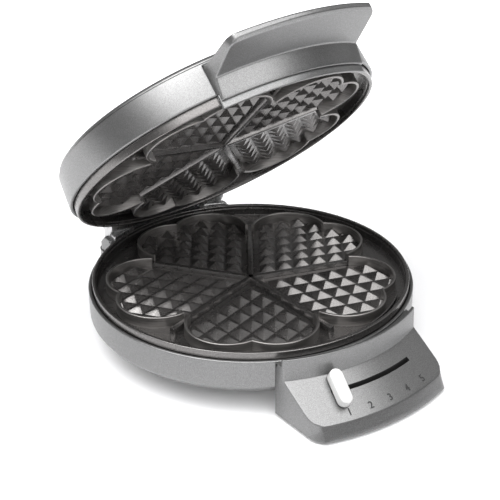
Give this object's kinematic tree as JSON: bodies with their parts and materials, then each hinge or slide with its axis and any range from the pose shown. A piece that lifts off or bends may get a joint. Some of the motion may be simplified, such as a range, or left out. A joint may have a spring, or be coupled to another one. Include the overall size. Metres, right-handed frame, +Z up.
{
  "type": "waffle maker",
  "caption": "Round electric waffle maker with heart-shaped plates, a hinged lid with a wing handle, and a temperature slider on a sloping front tab.",
  "frame": {"origin": "on the surface it stands on, at the bottom centre of its box with the lid standing open; the round body's vertical axis is 10 mm behind the origin", "axes": "+Z up, -Y towards the front tab with the slider, +Y towards the hinge and the mains lead's gland, +X to the right seen from the front"},
  "size_m": [0.224, 0.283, 0.2431],
  "materials": {
    "silver_paint": "satin",
    "non_stick": "satin",
    "dark_plastic": "matte",
    "white_plastic": "satin",
    "steel": "satin",
    "reflector_sheet": "satin",
    "ceramic": "matte",
    "rubber": "matte",
    "red_lens": "gloss",
    "green_lens": "gloss",
    "lead_sleeve": "matte"
  },
  "bodies": {
    "base": {"base_shell": "silver_paint", "bottom_cover": "dark_plastic", "control_housing": "silver_paint", "control_bottom_cover": "dark_plastic", "rear_housing": "silver_paint", "rear_bottom_cover": "dark_plastic", "lower_plate": "non_stick", "lower_heating_element": "steel", "lower_heat_shield": "reflector_sheet", "thermostat_body": "ceramic", "thermal_fuse": "steel", "terminal_block": "ceramic", "cord_gland": "rubber", "hinge_pin_left": "steel", "hinge_pin_right": "steel", "foot_front_left": "rubber", "foot_front_right": "rubber", "foot_rear_left": "rubber", "foot_rear_right": "rubber", "lead_terminal_to_thermostat": "lead_sleeve", "lead_terminal_to_fuse": "lead_sleeve", "lower_plate_screw_1": "steel", "lower_plate_screw_2": "steel", "lower_plate_screw_3": "steel", "lower_plate_screw_4": "steel", "bottom_cover_screw_1": "steel", "bottom_cover_screw_2": "steel", "bottom_cover_screw_3": "steel", "control_cover_screw_1": "steel", "control_cover_screw_2": "steel", "rear_cover_screw_1": "steel", "rear_cover_screw_2": "steel"},
    "slider": {"thermostat_spindle": "steel", "slider_lever": "steel", "slider_knob": "white_plastic"},
    "lid": {"lid_band": "silver_paint", "lid_cover": "silver_paint", "handle": "silver_paint", "handle_trim": "silver_paint", "hinge_bracket": "dark_plastic", "upper_plate": "non_stick", "upper_heating_element": "steel", "upper_heat_shield": "reflector_sheet", "power_lamp_lens": "red_lens", "ready_lamp_lens": "green_lens", "upper_plate_screw_1": "steel", "upper_plate_screw_2": "steel", "upper_plate_screw_3": "steel", "upper_plate_screw_4": "steel", "handle_screw_left": "steel", "handle_screw_right": "steel", "bracket_screw_left": "steel", "bracket_screw_right": "steel"}
  },
  "joints": [
    {"name": "lid_hinge", "type": "hinge", "parent": "base", "child": "lid", "pos_m": [0, 0.1192, 0.052], "axis": [-1, 0, 0], "range_deg": [-44.15, 55.85]},
    {"name": "temperature_slider", "type": "hinge", "parent": "base", "child": "slider", "pos_m": [0, 0.01, 0.0126], "axis": [0, 0, 1], "range_deg": [0, 24.4]}
  ]
}
